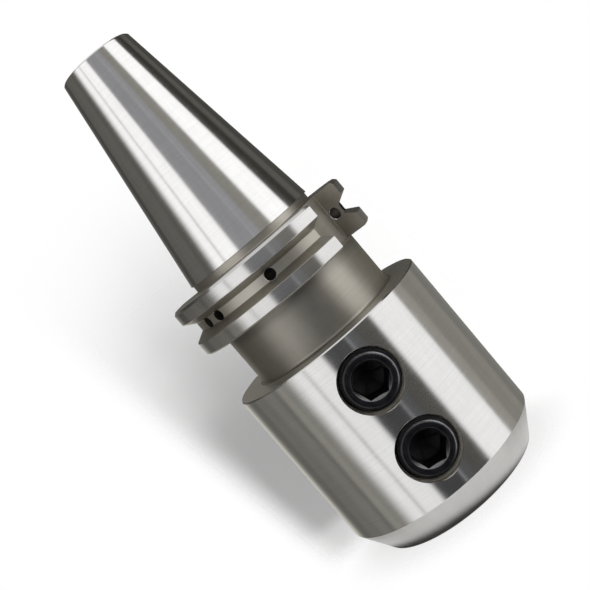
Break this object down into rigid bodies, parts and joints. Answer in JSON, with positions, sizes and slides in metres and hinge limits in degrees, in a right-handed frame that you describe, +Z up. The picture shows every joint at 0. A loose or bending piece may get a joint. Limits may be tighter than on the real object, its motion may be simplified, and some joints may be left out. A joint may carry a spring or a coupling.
{
  "type": "side lock arbor",
  "caption": "Steep-taper side lock arbor: V-grooved flange with drive slots, neck, thick chamfered barrel and hexagon-socket lock screws that clamp a shank in its bore.",
  "frame": {"origin": "centre of the nose face, where the tool bore opens", "axes": "+Z up the spindle axis from the nose to the small end of the taper, lock screws facing -Y"},
  "size_m": [0.067, 0.067, 0.1682],
  "materials": {
    "ground_steel": "ground bright on taper, lands and barrel, satin turned on groove, slots and neck",
    "black_oxide_screw": "black oxide, oiled"
  },
  "bodies": {
    "holder": {"holder_body": "ground_steel"},
    "front_screw": {"front_lock_screw": "black_oxide_screw"},
    "rear_screw": {"rear_lock_screw": "black_oxide_screw"}
  },
  "joints": [
    {"name": "front_screw_travel", "type": "slide", "parent": "holder", "child": "front_screw", "axis": [0, -1, 0], "range_m": [-0.0021, 0.004]},
    {"name": "rear_screw_travel", "type": "slide", "parent": "holder", "child": "rear_screw", "axis": [0, -1, 0], "range_m": [-0.0021, 0.004]}
  ]
}
